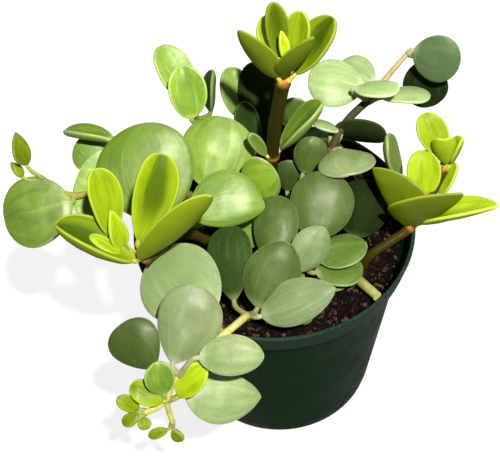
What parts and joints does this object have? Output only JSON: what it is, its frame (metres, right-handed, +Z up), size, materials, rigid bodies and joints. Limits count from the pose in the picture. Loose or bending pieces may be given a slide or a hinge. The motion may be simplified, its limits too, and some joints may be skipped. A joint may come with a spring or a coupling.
{
  "type": "potted peperomia",
  "caption": "Bushy houseplant with thick oval leaves on arching and trailing stems, rooted in soil in a round tapered plastic nursery pot.",
  "frame": {"origin": "centre of the pot's underside, on the surface the pot stands on", "axes": "+Z up; -Y towards the front, where a trailing stem hangs over the rim; +X to the right seen from the front"},
  "size_m": [0.1758, 0.1368, 0.1683],
  "materials": {
    "pot": "satin dark bottle green",
    "soil": "crumbly potting mix",
    "young_leaves": "waxy satin yellow-green",
    "olive_leaves": "waxy satin mid green",
    "dark_leaves": "waxy satin dark green",
    "silver_leaves": "waxy satin grey-green",
    "stub": "dry straw-coloured stem"
  },
  "bodies": {
    "root": {"pot": "pot", "soil": "soil", "stem_tall": "young_leaves", "stem_back": "dark_leaves", "stem_left_rosette": "young_leaves", "stem_left_crown": "young_leaves", "stem_round_leaves": "olive_leaves", "stem_far_left": "olive_leaves", "stem_front_trailing": "silver_leaves", "stem_centre": "dark_leaves", "stem_right_back": "silver_leaves", "stem_right_crown": "young_leaves", "stem_behind_centre": "olive_leaves", "stem_back_right": "olive_leaves", "stem_back_left": "olive_leaves", "stem_right_low": "dark_leaves", "cut_stub": "stub"}
  },
  "joints": []
}
